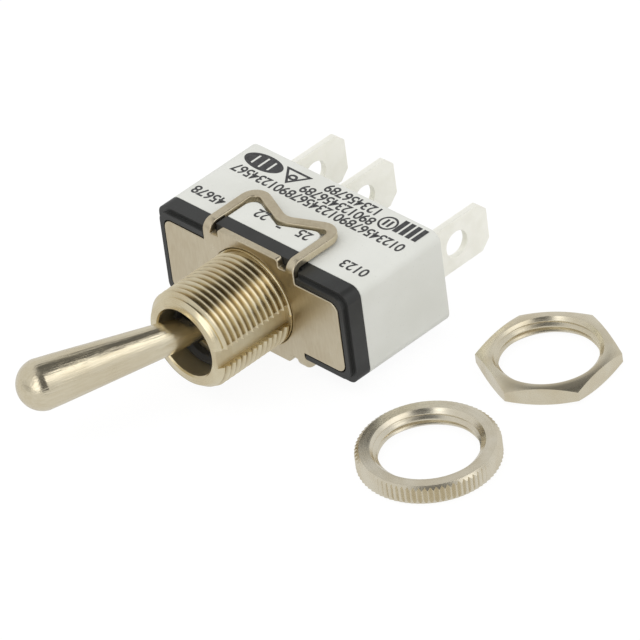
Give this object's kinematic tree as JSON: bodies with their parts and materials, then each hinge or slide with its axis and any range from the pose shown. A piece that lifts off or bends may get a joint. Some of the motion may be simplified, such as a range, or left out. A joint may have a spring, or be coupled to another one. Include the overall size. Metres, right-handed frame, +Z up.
{
  "type": "panel toggle switch",
  "caption": "Panel toggle switch with a bat lever, a threaded and keyed bushing, a stamped loop bracket, a moulded case, blade terminals, and its mounting nuts laid beside it.",
  "frame": {"origin": "the bushing's axis at the front face of the bracket, which seats on the back of the panel", "axes": "-Y out of the panel along the bushing, X along the case and in the plane of the lever's swing, +Z up and square to the broad faces"},
  "size_m": [0.0518, 0.0533, 0.0144],
  "materials": {
    "case_plastic": "satin moulded",
    "cover_plastic": "satin moulded",
    "plated_steel": "warm nickel plate, satin",
    "plated_brass": "warm nickel plate, turned",
    "seal_rubber": "matt",
    "pin_steel": "ground",
    "plunger_plastic": "satin moulded",
    "contact_brass": "bright",
    "contact_silver": "bright",
    "tinned_brass": "dull tin plate"
  },
  "bodies": {
    "base": {"case": "case_plastic", "cover": "cover_plastic", "bracket": "plated_steel", "bushing": "plated_brass", "seal_ring": "seal_rubber", "fixed_contact_left": "contact_silver", "fixed_contact_right": "contact_silver", "end_terminal_left": "tinned_brass", "end_terminal_right": "tinned_brass", "common_terminal": "tinned_brass", "hex_nut": "plated_brass", "knurled_nut": "plated_brass"},
    "lever": {"lever": "plated_brass", "pivot_pin": "pin_steel", "plunger_spring": "pin_steel"},
    "plunger": {"plunger": "plunger_plastic"},
    "rocker": {"rocker": "contact_brass", "rocker_pin": "pin_steel", "moving_contact_left": "contact_silver", "moving_contact_right": "contact_silver"}
  },
  "joints": [
    {"name": "lever_swing", "type": "hinge", "parent": "base", "child": "lever", "pos_m": [0, -0.005, 0], "axis": [0, 0, 1], "range_deg": [0, 40]},
    {"name": "rocker_tilt", "type": "hinge", "parent": "base", "child": "rocker", "pos_m": [0, 0.0098, 0], "axis": [0, 0, 1], "range_deg": [-16.5, 0.5]},
    {"name": "plunger_stroke", "type": "slide", "parent": "lever", "child": "plunger", "axis": [0.342, 0.9397, 0], "range_m": [-0.0008, 0], "stiffness_N_per_m": 500, "springref_m": 0.002, "deforming": ["plunger_spring"]}
  ],
  "couplings": [
    {"joint": "rocker_tilt", "follows": "lever_swing", "ratio": -0.4}
  ]
}
